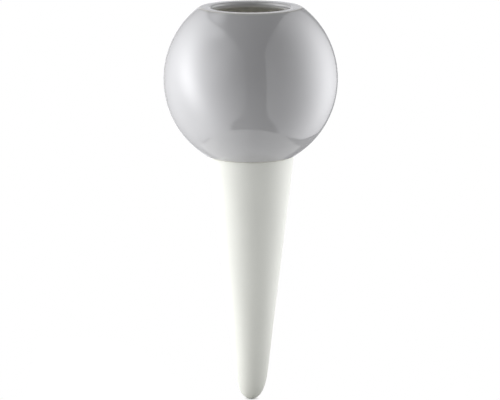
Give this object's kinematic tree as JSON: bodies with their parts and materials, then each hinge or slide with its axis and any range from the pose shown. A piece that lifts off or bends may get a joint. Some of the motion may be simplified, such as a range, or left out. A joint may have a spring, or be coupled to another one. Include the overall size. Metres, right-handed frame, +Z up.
{
  "type": "self watering spike",
  "caption": "Glazed ceramic water globe with an open flat-lipped mouth, bonded on a hollow unglazed clay cone that is pushed into potting soil and seeps water to the roots.",
  "frame": {"origin": "centre of the globe's foot ring, which is the soil line when the spike is pushed in", "axes": "+Z up along the axis of turning, from the spike's nose to the globe's mouth"},
  "size_m": [0.11, 0.11, 0.253],
  "materials": {
    "grey_glaze": "gloss",
    "porous_clay": "matte",
    "sealant": "satin"
  },
  "bodies": {
    "root": {"reservoir_globe": "grey_glaze", "clay_spike": "porous_clay", "bond_ring": "sealant"}
  },
  "joints": []
}
